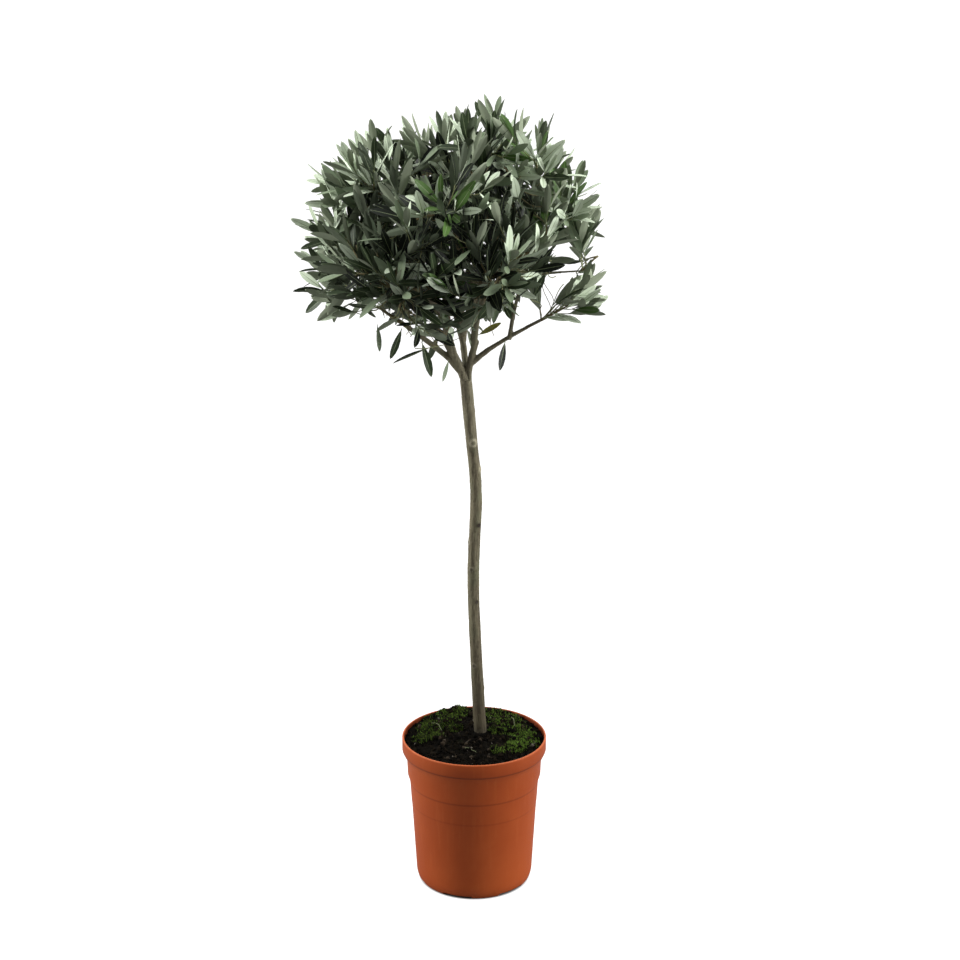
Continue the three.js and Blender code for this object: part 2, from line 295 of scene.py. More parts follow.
def pot_plastic():
    """Matt moulded plastic: clouded pigment, faint flow lines, rubbed edges, scuffs and splashed
    soil, with painted shade on the collar and in the creases, and soil stain and painted shade
    inside the wall.
    """
    material = new_material("pot_plastic")
    place = object_place()
    pigment = cloud(place, 9, 4)
    flow = cloud(object_place((1, 1, 0.08)), 150, 2)
    grain = cloud(place, 1500, 2)
    height = Wire.node("ShaderNodeSeparateXYZ", {}, {0: place}, output=2)
    base = blend(pigment.above(0.35, 0.7), (0.268, 0.047, 0.0085, 1), (0.306, 0.059, 0.0120, 1))
    base = blend(flow.above(0.5, 0.8) * 0.35, base, (0.330, 0.070, 0.017, 1))
    lip = height.above(pot_height - 0.003, pot_height - 0.0005)
    base = blend(lip * 0.35, base, (0.38, 0.100, 0.034, 1))
    # Painted shade: the collar is painted darker because it is lit more from above than the wall
    # under it.
    collar_shade = height.above(pot_height - collar_depth - 0.0004, pot_height - collar_depth + 0.002)
    base = blend(collar_shade * (1 - lip) * 0.28, base, (0.150, 0.022, 0.005, 1))
    # Painted shade: a thin dark line in the crease under the collar, at the shoulder and at the
    # step.
    for shaded_crease, deep in ((pot_height - collar_depth - 0.0004, 0.6), (shoulder[1], 0.38),
                         (step_above[1], 0.2)):
        line = height.above(shaded_crease - 0.0026, shaded_crease - 0.0002) * (
            1 - height.above(shaded_crease + 0.0002, shaded_crease + 0.0020))
        base = blend(line * deep, base, (0.075, 0.012, 0.003, 1))
    # The inside of the wall above the compost is painted darker: soil stain and painted shade.
    across = Wire.node("ShaderNodeVectorMath", {"operation": "LENGTH"},
                       {0: object_place((1, 1, 0))}, output=1)
    stain_and_shade = (1 - across.above(rim_radius - pot_wall - 0.0004, rim_radius - pot_wall + 0.0006)
             ) * height.above(pot_height - collar_depth + 0.0005, pot_height - collar_depth + 0.002)
    base = blend(stain_and_shade * (0.72 + 0.25 * pigment), base, (0.045, 0.0085, 0.0025, 1))
    dust = cloud(place, 38, 5, 0.7).above(0.62, 0.8) * (1 - height.above(0.02, 0.16))
    base = blend(dust * 0.3, base, (0.26, 0.13, 0.075, 1))
    scuff = cloud(object_place((1, 1, 0.35)), 60, 6, 0.75).above(0.7, 0.76)
    base = blend(scuff * 0.35, base, (0.20, 0.045, 0.018, 1))
    rough = 0.46 + 0.12 * pigment + 0.2 * dust
    finish_material(base, rough, grain * 0.6 + flow * 0.4, 0.00012, 0.14)
    return material


def pot_shell():
    """The pot's closed shell, from the middle of its underside round the rim to its floor."""
    inner_wall = [neck_top, neck_foot, shoulder, heel]
    collar_foot = pot_height - collar_depth
    profile = [(0, 0), (drain_radius, 0), (drain_radius + pot_wall, drain_height),
               (foot_radius - foot_ring, drain_height), (foot_radius - foot_ring + 0.001, 0)]
    profile += quarter((foot_radius, heel[1]), heel[0] - foot_radius, heel[1], -90, 8)
    profile += [step_below, step_above, shoulder, neck_foot, neck_top]
    profile += [(rim_radius - 0.0006, collar_foot), (rim_radius, collar_foot + collar_round)]
    profile += quarter((rim_radius - collar_round, pot_height - collar_round), collar_round,
                       collar_round, 0, 4)
    profile += quarter((rim_radius - pot_wall + 0.0009, pot_height - 0.0009), 0.0009, 0.0009,
                       90, 3)
    profile += [(rim_radius - pot_wall - 0.0006, collar_foot)]
    profile += [(radius - pot_wall, height) for radius, height in inner_wall]
    profile += [(foot_radius - pot_wall, drain_height + pot_wall),
                (drain_radius, drain_height + pot_wall), (drain_radius - pot_wall, pot_wall),
                (0, pot_wall)]
    return turned(profile, pot_sides)


def notch_cutter():
    """One block for each drain notch, through the foot ring from the drain channel outward."""
    bm = bmesh.new()
    inner = foot_radius - foot_ring - 0.004
    length = rim_radius - inner
    for i in range(notch_count):
        block = bmesh.ops.create_cube(bm, size=1)["verts"]
        bmesh.ops.scale(bm, verts=block, vec=(length, notch_width, 2 * drain_height))
        bmesh.ops.translate(bm, verts=block, vec=(inner + length / 2, 0, 0))
        turn = first_notch + 2 * pi * i / notch_count
        spin = ((cos(turn), -sin(turn), 0), (sin(turn), cos(turn), 0), (0, 0, 1))
        bmesh.ops.transform(bm, verts=block, matrix=Matrix(spin).to_4x4())
    return bm


def settled(piece):
    """Applies the piece's modifiers to its mesh."""
    graph = bpy.context.evaluated_depsgraph_get()
    mesh = bpy.data.meshes.new_from_object(piece.evaluated_get(graph))
    piece.modifiers.clear()
    piece.data = mesh
    mesh.name = piece.name
    return piece


plastic = pot_plastic()
pot = new_piece("pot_shell", pot_shell(), plastic)
cutter = new_piece("notch_cutter", notch_cutter(), plastic)
notches = pot.modifiers.new("notches", "BOOLEAN")
notches.object = cutter
notches.solver = "EXACT"
edges = pot.modifiers.new("edges", "BEVEL")
edges.width = 0.0006
edges.segments = 2
edges.angle_limit = radians(24)
settled(pot)
pot.data.shade_smooth()
bpy.data.objects.remove(cutter)
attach(pot, "root")
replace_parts(pot, "pot")


# ---------------------------------------------------------------------------------------------
# The compost: dark wet peat, uneven on top and packed against the inside of the pot's wall. It
# rises under the cushions of moss, and towards the back of the rim.
compost_radius = rim_radius - pot_wall - 0.0012
compost_rings = 46
compost_sides = 176
compost_skirt = 0.016
moss_rise = 0.0040
heap_rise = 0.0040               # against the wall at the back
heap_middle, heap_half = radians(92), radians(52)


def cad_tree(node):
    """A CAD node's surface, to be asked where it is."""
    mesh = frame["nodes"][node].data
    return BVHTree.FromPolygons([v.co for v in mesh.vertices],
                                [list(p.vertices) for p in mesh.polygons])


compost_cad = cad_tree("compost")
stem_mesh = frame["nodes"]["stem"].data
stem_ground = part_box("stem")[0].z
foot_points = [v.co for v in stem_mesh.vertices if v.co.z < stem_ground + 0.001]
stem_foot = sum(foot_points, Vector()) / len(foot_points)

# Cushions of moss: place across and front to back, radius, and how bright the green is.
moss_cushions = [(-0.048, 0.060, 0.030, 0.35), (-0.066, 0.030, 0.022, 0.25),
                 (-0.024, 0.084, 0.020, 0.3), (0.028, 0.070, 0.028, 0.6),
                 (0.054, 0.056, 0.020, 0.4), (0.068, 0.020, 0.024, 0.6),
                 (0.072, -0.006, 0.024, 1.0), (0.060, -0.030, 0.018, 0.8),
                 (-0.030, 0.024, 0.014, 0.1), (-0.076, -0.004, 0.016, 0.15),
                 (0.036, 0.020, 0.016, 0.3), (0.034, -0.046, 0.012, 0.4),
                 (-0.058, 0.004, 0.014, 0.1)]


def moss_depth(x, y):
    """From 0 off the moss to 1 in the middle of a cushion, with a ragged edge."""
    ragged = 0.35 * noise.noise(Vector((x * 160, y * 160, 2.0)))
    deepest = 0.0
    for across, back, radius, _ in moss_cushions:
        deepest = max(deepest, 1 - hypot(x - across, y - back) / radius + ragged)
    return min(1.0, deepest * 1.6)


def compost_height(x, y):
    """The CAD surface with crumbs, hollows and the rise of the moss on it."""
    inside = min(1.0, (compost_radius * 0.985) / max(1e-6, hypot(x, y)))
    hit = compost_cad.ray_cast(Vector((x * inside, y * inside, 1)), Vector((0, 0, -1)))[0]
    spot = Vector((x, y, 0.0))
    clods = 0.0032 * noise.noise(spot * 70) + 0.0021 * noise.noise(spot * 190)
    crumbs = 0.0011 * noise.noise(spot * 520) + 0.0006 * noise.noise(spot * 1100)
    near_stem = exp(-((x - stem_foot.x) ** 2 + (y - stem_foot.y) ** 2) / 0.018 ** 2)
    rise = moss_rise * max(0.0, moss_depth(x, y))
    edge = max(0.0, 1 - (compost_radius - hypot(x, y)) / 0.022)
    heap = max(0.0, 1 - (abs(atan2(y, x) - heap_middle) / heap_half) ** 4)
    rise += heap_rise * edge * heap * (0.9 + 0.6 * noise.noise(spot * 70))
    return hit.z + (clods + crumbs) * (1 - 0.6 * near_stem) + rise + 0.0015 * near_stem


def compost_soil():
    """Wet peat: nearly black, browner on the crumbs, with pale specks of grit."""
    material = new_material("compost_soil")
    place = object_place()
    crumb = cloud(place, 420, 5, 0.7)
    patch = cloud(place, 60, 3)
    speck = cloud(place, 900, 2, 0.5)
    soil = blend(crumb.above(0.42, 0.72), (0.0012, 0.0010, 0.0007, 1), (0.0065, 0.0048, 0.0028, 1))
    soil = blend(patch.above(0.55, 0.75) * 0.6, soil, (0.0045, 0.0055, 0.0018, 1))
    soil = blend(speck.above(0.72, 0.78) * 0.5, soil, (0.030, 0.025, 0.018, 1))
    finish_material(soil, 0.93, crumb + speck * 0.4, 0.0012, 0.03)
    return material


bm = turned([(0, 0), (compost_radius, 0)]
            + [(compost_radius * (1 - i / compost_rings), compost_skirt)
               for i in range(compost_rings + 1)], compost_sides)
for vert in bm.verts:
    if vert.co.z > compost_skirt / 2:
        vert.co.z = compost_height(vert.co.x, vert.co.y)
    else:
        vert.co.z = stem_ground - compost_skirt
compost = new_piece("compost_surface", bm, compost_soil())
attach(compost, "root")
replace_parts(compost, "compost")


# ---------------------------------------------------------------------------------------------
# The moss: cushions of short pointed leaves that grow on the damp compost, thick in the middle
# and ragged at the edge, and brightest where they get most light.
moss_leaves = 8500
moss_reach = 1.15                # how far leaves stray past a cushion's radius
moss_root = 0.0006               # each leaf starts this far under the compost
moss_lean = 0.0011
moss_rings = (0.00028, 0.00042, 0.00006)    # half widths at its foot, middle and tip


def joined_piece(name, corners, faces, shades, materials, slot):
    """One piece from arrays: corner places, four corners to a face, and a shade for each face."""
    mesh = bpy.data.meshes.new(name)
    mesh.from_pydata(corners.reshape(-1, 3).tolist(), [], faces.tolist())
    for material in materials:
        mesh.materials.append(material)
    mesh.polygons.foreach_set("material_index", np.asarray(shades, np.int32))
    mesh.shade_smooth()
    piece = bpy.data.objects.new(name, mesh)
    studio.collection.objects.link(piece)
    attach(piece, "root")
    return piece


def plain_colour(name, colour, roughness, specular=0.4):
    material = new_material(name)
    finish_material((*colour, 1), roughness, specular=specular)
    return material


def ring_faces(rings, sides, start):
    """Quads of a closed tube of rings, with both ends shut, for an even number of sides."""
    faces = []
    for ring in range(rings - 1):
        for side in range(sides):
            following = (side + 1) % sides
            faces.append((ring * sides + side, ring * sides + following,
                          (ring + 1) * sides + following, (ring + 1) * sides + side))
    last = (rings - 1) * sides
    for i in range(1, sides - 2, 2):
        faces.append((0, i + 2, i + 1, i))
        faces.append((last, last + i, last + i + 1, last + i + 2))
    return np.array(faces, np.int32) + start


def moss_blades(seed, count):
    """Corners, faces and shades of the short pointed leaves that make up the moss."""
    chance = np.random.default_rng(seed)
    corners, faces, shades = [], [], []
    rings, sides = len(moss_rings), 4
    unit = ring_faces(rings, sides, 0)
    while len(corners) < count:
        across, back, radius, bright = moss_cushions[chance.integers(len(moss_cushions))]
        out, turn = radius * chance.random() ** 0.6 * moss_reach, chance.random() * 2 * pi
        x, y = across + out * cos(turn), back + out * sin(turn)
        if hypot(x, y) > compost_radius - 0.002 or moss_depth(x, y) < 0.1:
            continue
        foot = Vector((x, y, compost_height(x, y) - moss_root))
        tip = foot + Vector((chance.normal() * moss_lean, chance.normal() * moss_lean,
                             0.0022 + 0.0018 * chance.random()))
        middle = foot.lerp(tip, 0.5) + Vector((chance.normal(), chance.normal(), 0)) * 0.0003
        blade = []
        for centre, thick in zip((foot, middle, tip), moss_rings):
            blade += [centre + Vector((thick * cos(pi * k / 2), thick * sin(pi * k / 2), 0))
                      for k in range(sides)]
        faces.append(unit + len(corners) * rings * sides)
        corners.append(blade)
        shade = 2 if chance.random() < bright * 0.6 else 1 if chance.random() < 0.5 else 0
        shades.append(np.full(len(unit), shade))
    return np.array(corners), np.concatenate(faces), np.concatenate(shades)


moss_greens = [plain_colour("moss_dark", (0.0065, 0.0105, 0.003), 0.9, 0.05),
               plain_colour("moss_green", (0.034, 0.050, 0.008), 0.9, 0.05),
               plain_colour("moss_bright", (0.070, 0.128, 0.016), 0.85, 0.1)]
joined_piece("moss", *moss_blades(11, moss_leaves), moss_greens, "compost")


# ---------------------------------------------------------------------------------------------
# Loose crumbs of peat, bark chips and pale grit, lying on the compost. Most are dust, a few are
# as big as a peppercorn.
crumb_count = 2200
crumb_least, crumb_spread = 0.0008, 0.0026
bare_round_stem = 0.016


def crumbs(seed, count):
    """Corners, faces and shades of the loose crumbs, grit and bark chips on the compost."""
    chance = np.random.default_rng(seed)
    bm = bmesh.new()
    bmesh.ops.create_cube(bm, size=1)
    bmesh.ops.subdivide_edges(bm, edges=bm.edges, cuts=1, use_grid_fill=True, smooth=0.9)
    bm.verts.ensure_lookup_table()
    unit = np.array([v.co for v in bm.verts])
    unit_faces = np.array([[v.index for v in f.verts] for f in bm.faces], np.int32)
    bm.free()
    corners, faces, shades = [], [], []
    while len(corners) < count:
        x, y = (chance.random(2) * 2 - 1) * compost_radius
        if hypot(x, y) > compost_radius - 0.003:
            continue
        if hypot(x - stem_foot.x, y - stem_foot.y) < bare_round_stem:
            continue
        size = crumb_least + crumb_spread * chance.random() ** 4
        stretch = size * (0.6 + 0.8 * chance.random(3))
        turn = chance.random() * 2 * pi
        spin = np.array([[cos(turn), -sin(turn), 0], [sin(turn), cos(turn), 0], [0, 0, 1]])
        lumps = unit * stretch * (1 + 0.25 * chance.normal(size=unit.shape).clip(-1, 1))
        place = np.array([x, y, compost_height(x, y) + size * 0.2])
        faces.append(unit_faces + len(corners) * len(unit))
        corners.append(lumps @ spin.T + place)
        draw = chance.random()
        shades.append(np.full(len(unit_faces), 3 if draw > 0.985 else 2 if draw > 0.92 else
                              1 if draw > 0.5 else 0))
    return np.array(corners), np.concatenate(faces), np.concatenate(shades)


crumb_colours = [plain_colour("crumb_black", (0.0016, 0.0013, 0.0009), 0.95, 0.03),
                 plain_colour("crumb_brown", (0.0055, 0.004, 0.0022), 0.9, 0.03),
                 plain_colour("chip_brown", (0.018, 0.0125, 0.007), 0.85, 0.1),
                 plain_colour("grit_grey", (0.065, 0.058, 0.046), 0.8, 0.1)]
joined_piece("compost_crumbs", *crumbs(5, crumb_count), crumb_colours, "compost")


# ---------------------------------------------------------------------------------------------
# Three dry straws blown onto the compost: thin stalks of dead grass, paler than the soil. They
# lie loose on it and arch a little in the middle.
straw_radius = 0.0007
straw_points = 9
# One end, the other end, and the lift of the middle.
straws = [((-0.063, 0.047), (-0.039, 0.000), 0.003), ((0.052, 0.064), (0.063, 0.030), 0.004),
          ((-0.014, -0.040), (0.006, -0.050), 0.001)]


def straw(points, thick, start):
    """Corners and faces of one thin dry stalk through the points."""
    sides = 6
    rings = []
    for i, point in enumerate(points):
        onward = (points[min(i + 1, len(points) - 1)] - points[max(i - 1, 0)]).normalized()
        side = onward.cross(Vector((0, 0, 1))).normalized()
        upward = onward.cross(side)
        shrink = thick * (1 - 0.5 * i / len(points))
        rings += [point + side * shrink * cos(2 * pi * k / sides)
                  + upward * shrink * sin(2 * pi * k / sides) for k in range(sides)]
    return rings, ring_faces(len(points), sides, start)


corners, faces = [], []
for (x0, y0), (x1, y1), lift in straws:
    line = []
    for i in range(straw_points):
        share = i / (straw_points - 1)
        x, y = x0 + (x1 - x0) * share, y0 + (y1 - y0) * share
        x += 0.002 * sin(share * 5)
        arch = lift * sin(pi * share)
        line.append(Vector((x, y, max(compost_height(x, y), stem_ground - 0.006) + 0.0012 + arch)))
    rings, quads = straw(line, straw_radius, len(corners))
    corners += rings
    faces.append(quads)
faces = np.concatenate(faces)
joined_piece("straws", np.array(corners), faces, np.zeros(len(faces)),
             [plain_colour("straw", (0.085, 0.095, 0.050), 0.8, 0.1)], "compost")


# ---------------------------------------------------------------------------------------------
# The stem, leaders and boughs: one skin of grey-olive bark, smooth when young, with shallow
# cracks along the grain, and round scars where side shoots were rubbed off.
bark_voxel = 0.00102
stem_sides, limb_sides = 20, 14
stem_stations, limb_stations = 30, 9
limb_root, limb_end = 0.011, 0.009     # each limb starts in its parent and ends in its mass
smooth_height = 0.8                    # above this the bark is young, and its relief lower
limb_nodes = sorted(n for n in frame["nodes"] if n.startswith(("leader", "bough")))


def limb_line(node, stations):
    """Centres and radii along a CAD limb, from its lower end, by slicing it across its length."""
    mesh = frame["nodes"][node].data
    verts = np.array([v.co for v in mesh.vertices])
    corners = verts[np.array([list(p.vertices) for p in mesh.polygons])]
    middle = verts.mean(0)
    onward = np.linalg.svd(verts - middle, full_matrices=False)[2][0]
    onward = onward * (1 if onward[2] > 0 else -1)
    along = (corners - middle) @ onward
    low, high = along.min(), along.max()
    line, radii = [], []
    for share in np.linspace(0.07, 0.93, stations):
        cut = low + (high - low) * share
        ends = []
        for a, b in ((0, 1), (1, 2), (2, 0)):
            crossing = (along[:, a] > cut) != (along[:, b] > cut)
            mix = ((cut - along[crossing, a])
                   / (along[crossing, b] - along[crossing, a]))[:, None]
            ends.append(corners[crossing, a] * (1 - mix) + corners[crossing, b] * mix)
        ends = np.concatenate(ends)
        centre = (ends.min(0) + ends.max(0)) / 2
        line.append(centre)
        radii.append(np.linalg.norm(ends - centre, axis=1).mean())
    return np.array(line), np.array(radii)


def stretched(line, radii, before, after):
    """The line carried on straight past both ends by the given lengths."""
    first, last = line[0] - line[1], line[-1] - line[-2]
    front = line[0] + first / np.linalg.norm(first) * before
    back = line[-1] + last / np.linalg.norm(last) * after
    return np.vstack([front, line, back]), np.concatenate([radii[:1], radii, radii[-1:]])


def add_tube(bm, line, radii, sides):
    """A closed tube through the centres, made by extruding a disc from one to the next."""
    line = [Vector(p) for p in line]
    disc = bmesh.ops.create_circle(bm, cap_ends=True, segments=sides, radius=1)["verts"]
    start = line[1] - line[0]
    turn = Vector((0, 0, 1)).rotation_difference(start)
    for vert in disc:
        vert.co = line[0] + turn @ (vert.co * radii[0])
    face = next(f for f in disc[0].link_faces if all(v in f.verts for v in disc))
    heading = start.normalized()
    for i in range(1, len(line)):
        grown = bmesh.ops.extrude_face_region(bm, geom=[face])["geom"]
        face = next(g for g in grown if isinstance(g, bmesh.types.BMFace))
        after = line[min(i + 1, len(line) - 1)] - line[i - 1]
        turn = heading.rotation_difference(after)
        heading = after.normalized()
        for vert in face.verts:
            arm = turn @ (vert.co - line[i - 1])
            vert.co = line[i] + arm.normalized() * radii[i]


bough_ends = {}
bm = bmesh.new()
stem_line, stem_radii = limb_line("stem", stem_stations)
# A spare point at each end, moved to just under the compost and to the fork.
stem_line, stem_radii = stretched(stem_line, stem_radii, 0.0, 0.0)
stem_line[0] = [stem_foot.x, stem_foot.y, stem_ground - 0.004]
stem_radii = np.minimum(stem_radii, 0.0094 + 0.0016 * np.exp((stem_ground - stem_line[:, 2])
                                                             / 0.006))
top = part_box("stem")[1].z
stem_line[-1] += (stem_line[-2] - stem_line[-3]) * (top - stem_line[-2][2]) / (
    stem_line[-2][2] - stem_line[-3][2])
add_tube(bm, stem_line, stem_radii, stem_sides)
for node in limb_nodes:
    line, radii = limb_line(node, limb_stations)
    line, radii = stretched(line, radii, limb_root, limb_end)
    add_tube(bm, line, radii, limb_sides)
    if node.startswith("bough"):
        heading = line[-1] - line[-3]
        bough_ends[node[6:]] = (line[-1], heading / np.linalg.norm(heading), radii[-1])
bmesh.ops.recalc_face_normals(bm, faces=bm.faces)

# Rubbed-off shoots: height, turn about the stem in degrees from the right, size and how far the
# scar has healed over.
knots = [(0.547, -52, 0.0040, 0.0), (0.430, -58, 0.0036, 0.1), (0.670, -72, 0.0060, 0.92),
         (0.630, 4, 0.0060, 1.0), (0.330, -120, 0.0042, 0.45), (0.385, 80, 0.0040, 0.5),
         (0.610, 150, 0.0040, 0.6), (0.480, -110, 0.0036, 0.45), (0.292, 30, 0.0045, 0.5),
         (0.715, 40, 0.0045, 0.5), (0.520, 200, 0.0042, 0.8)]


def stem_at(height):
    """Centre and radius of the stem at a height."""
    place = [np.interp(height, stem_line[:, 2], stem_line[:, axis]) for axis in (0, 1)]
    return place[0], place[1], float(np.interp(height, stem_line[:, 2], stem_radii))


knot_points = []
for height, turn, size, healed in knots:
    x, y, radius = stem_at(height)
    spot = Vector((x + radius * cos(radians(turn)), y + radius * sin(radians(turn)), height))
    knot_points.append((spot, size, healed))


def bark_relief(point):
    """How far the bark stands out at a point, and how much of it is scar."""
    x, y = stem_at(point.z)[:2]
    turn = atan2(point.y - y, point.x - x)
    grain = Vector((cos(turn) * 3.2, sin(turn) * 3.2, point.z * 26))
    low = Vector((point.x * 60, point.y * 60, point.z * 22))
    relief = 0.00055 * noise.noise(low) + 0.00042 * noise.noise(grain)
    ridge = abs(noise.noise(grain * 2.3 + Vector((7, 0, 0))))
    relief -= 0.00045 * max(0.0, 0.16 - ridge) / 0.16
    relief += 0.00022 * noise.noise(Vector((point.x, point.y, point.z * 0.45)) * 700)
    scar, ring = 0.0, 0.0
    for spot, size, healed in knot_points:
        away = (point - spot).length / size
        if away < 2.2:
            relief += 0.0014 * exp(-away * away * 1.2) - 0.0016 * (1.1 - healed) * exp(
                -away * away * 7)
            scar = max(scar, min(1, 1.5 * exp(-away * away * 1.3)) * (1 - healed))
            ring = max(ring, healed * exp(-((away - 0.75) / 0.3) ** 2))
    return relief, scar, ring


def bark_skin():
    """Grey-olive bark: streaks along the grain, darker cracks, pale specks, scars and algae, with
    painted shade towards the foot.
    """
    material = new_material("bark_skin")
    place = object_place()
    streak = cloud(object_place((1, 1, 0.12)), 330, 4, 0.6)
    patch = cloud(object_place((1, 1, 0.4)), 45, 3)
    fine = cloud(place, 1300, 3, 0.6)
    pore = Wire.node("ShaderNodeTexVoronoi", {}, {"Vector": object_place((1, 1, 0.6)),
                                                  "Scale": 210})
    scar, hollow, ring = (Wire.node("ShaderNodeAttribute", {"attribute_name": name}, output=2)
                          for name in ("scar", "hollow", "ring"))
    height = Wire.node("ShaderNodeSeparateXYZ", {}, {0: place}, output=2)
    colour = blend(streak.above(0.3, 0.7), (0.068, 0.056, 0.032, 1), (0.152, 0.135, 0.084, 1))
    colour = blend(patch.above(0.45, 0.7) * 0.7, colour, (0.108, 0.112, 0.064, 1))
    colour = blend(height.above(0.60, 0.80) * 0.45, colour, (0.160, 0.150, 0.098, 1))
    # Painted shade: the bark is darker towards the foot under the crown, and darkest just above the
    # compost.
    colour = blend((1 - height.above(0.23, 0.42)) * 0.8, colour, (0.046, 0.038, 0.018, 1))
    colour = blend((1 - height.above(0.222, 0.245)) * 0.6, colour, (0.022, 0.018, 0.010, 1))
    colour = blend(hollow * 0.75, colour, (0.045, 0.033, 0.020, 1))
    colour = blend((1 - pore.above(0.05, 0.13)) * fine.above(0.5, 0.6) * 0.6, colour,
                   (0.25, 0.23, 0.16, 1))
    colour = blend(ring * fine.above(0.30, 0.55) * 0.95, colour, (0.34, 0.31, 0.225, 1))
    colour = blend(scar, colour, (0.016, 0.010, 0.006, 1))
    finish_material(colour, 0.72 + 0.16 * streak, streak * 0.6 + fine * 0.4, 0.0006, 0.3)
    return material


bark = new_piece("bark", bm, bark_skin())
remesh = bark.modifiers.new("one_skin", "REMESH")
remesh.mode = "VOXEL"
remesh.voxel_size = bark_voxel
remesh.use_smooth_shade = True
smooth = bark.modifiers.new("soften", "SMOOTH")
smooth.factor = 0.5
smooth.iterations = 7
settled(bark)
mesh = bark.data
scars, hollows, rings = [mesh.attributes.new(name, "FLOAT", "POINT")
                         for name in ("scar", "hollow", "ring")]
normals = [v.normal.copy() for v in mesh.vertices]
for vert, normal in zip(mesh.vertices, normals):
    stand, scar, ring = bark_relief(vert.co)
    shrink = 1 if vert.co.z < smooth_height else 0.7
    scars.data[vert.index].value = scar
    rings.data[vert.index].value = ring
    hollows.data[vert.index].value = max(0.0, min(1.0, -stand / 0.0007))
    vert.co += normal * stand * shrink
mesh.shade_smooth()
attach(bark, "root")
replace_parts(bark, "stem", *limb_nodes)


# ---------------------------------------------------------------------------------------------
# The crown: each bough goes on as a branching spray of twigs inside its mass. Twigs end in
# shoots, with a pair of leaves at each joint, every pair turned across the last one.
# Olive leaves are narrow and leathery: grey-green above, silver beneath, with a pale midrib.
crown_seed = 41
crown_middle = np.array([-0.029, 0.004, 0.955])
crown_half = np.array([0.218, 0.205, 0.200])
growth_source = np.array([-0.022, 0.004, 0.880])
rim_spacing = 0.0254             # between the shoot tips at the outside of the crown
core_spacing = 0.043             # and deep inside it
# For single masses, how far apart their shoots are, and how far inside the crown these stop.
sparse = {"lower_right": 0.80, "outer_right": 0.74, "right": 1.04, "front_right": 0.96,
          "lower_front": 1.4, "lower_back": 1.2}
thin = {"lower_right": 0.75, "outer_right": 0.75, "lower_left": 0.8, "lower_front": 0.8,
        "lower_back": 0.8, "top": 1.2, "right": 0.74, "upper_right": 0.85, "left": 0.85,
        "upper_left": 0.9}
tip_inset = 0.036                # shoots stop this far inside the crown; their leaves fill the rest
valley = 0.020                   # leaves also fill the valleys between masses this near
shortest_shoot = 0.042
step = 0.008                     # length of one piece of twig
leafy_length = 0.080             # a shoot bears leaves on this much of its end
leaf_length = (0.046, 0.060)
longest_stray = np.full(3, 0.013)    # no leaf reaches further than this past the masses
leaf_slim = 0.226                # width for a length of 1
joint_spacing = 0.0075           # between pairs of leaves at a shoot's tip
leaf_lift = 0.16                 # how much leaves turn up to the light
twig_radius = 0.00064            # of a twig that carries one shoot
bare_radius = 0.00048
light_pull = 0.90                # how strongly growth turns up to the light
widest = 0.180                   # shoots end this near to the crown's axis
mixed_shoots = 0.3               # share of leaves whose tone differs from their shoot's
skipped_low = 0.42               # share of leaves missing in the twiggy place above the fork
bare_share = 0.5                 # bare side twigs for each shoot, on the old wood
twiggy = {"lower_front": 5.0, "lower_left": 0.8, "lower_back": 2.5, "lower_right": 1.5,
          "front_right": 3.0, "front_left": 2.5, "back_right": 1.2}
mass_names = sorted(n[8:] for n in frame["nodes"] if n.startswith("foliage_"))

# One leaf: how wide it is from stalk to tip, for a greatest width of 1.
leaf_stations = [(0.0, 0.12), (0.08, 0.13), (0.18, 0.44), (0.38, 0.84), (0.60, 1.0),
                 (0.80, 0.82), (0.94, 0.42), (1.0, 0.05)]
leaf_ring = 6
rib_half = 0.00045

# Open places where the sky shows through, seen along the camera's line of sight: place across and
# height on the upright plane through the pot's axis, half width and half height.
sky = [(0.122, 0.944, 0.010, 0.010), (0.165, 0.943, 0.006, 0.010), (0.149, 0.926, 0.004, 0.009),
       (0.173, 0.922, 0.005, 0.010), (0.106, 0.914, 0.008, 0.005), (0.125, 0.906, 0.009, 0.009),
       (0.108, 0.889, 0.014, 0.015), (0.072, 0.858, 0.008, 0.014), (0.123, 0.859, 0.010, 0.005),
       (0.094, 0.857, 0.010, 0.006), (0.042, 0.842, 0.011, 0.007), (0.028, 0.832, 0.010, 0.006),
       (0.013, 0.817, 0.008, 0.012), (-0.167, 0.871, 0.005, 0.005), (-0.128, 0.851, 0.007, 0.007),
       (-0.028, 1.083, 0.004, 0.006), (0.024, 0.796, 0.026, 0.026), (-0.012, 0.785, 0.016, 0.022),
       (-0.056, 0.793, 0.020, 0.020), (-0.115, 0.822, 0.028, 0.014), (-0.170, 0.828, 0.032, 0.016),
       (0.130, 0.828, 0.050, 0.011), (0.090, 0.816, 0.030, 0.010)]


def unit(vector):
    return vector / (np.linalg.norm(vector) + 1e-12)


def two_across(heading):
    """Two directions across a heading."""
    helper = np.array([0, 0, 1.0]) if abs(heading[2]) < 0.9 else np.array([1.0, 0, 0])
    side = unit(np.cross(heading, helper))
    return side, np.cross(heading, side)


def outward(point):
    """Which way growth goes at a place in the crown: away from its source, and up to the light."""
    return unit(unit(point - growth_source) + np.array([0, 0, light_pull]))


def reach_out(point):
    """How far out in the crown a point is: 0 in the middle, 1 at the outside."""
    return np.linalg.norm((point - crown_middle) / crown_half)


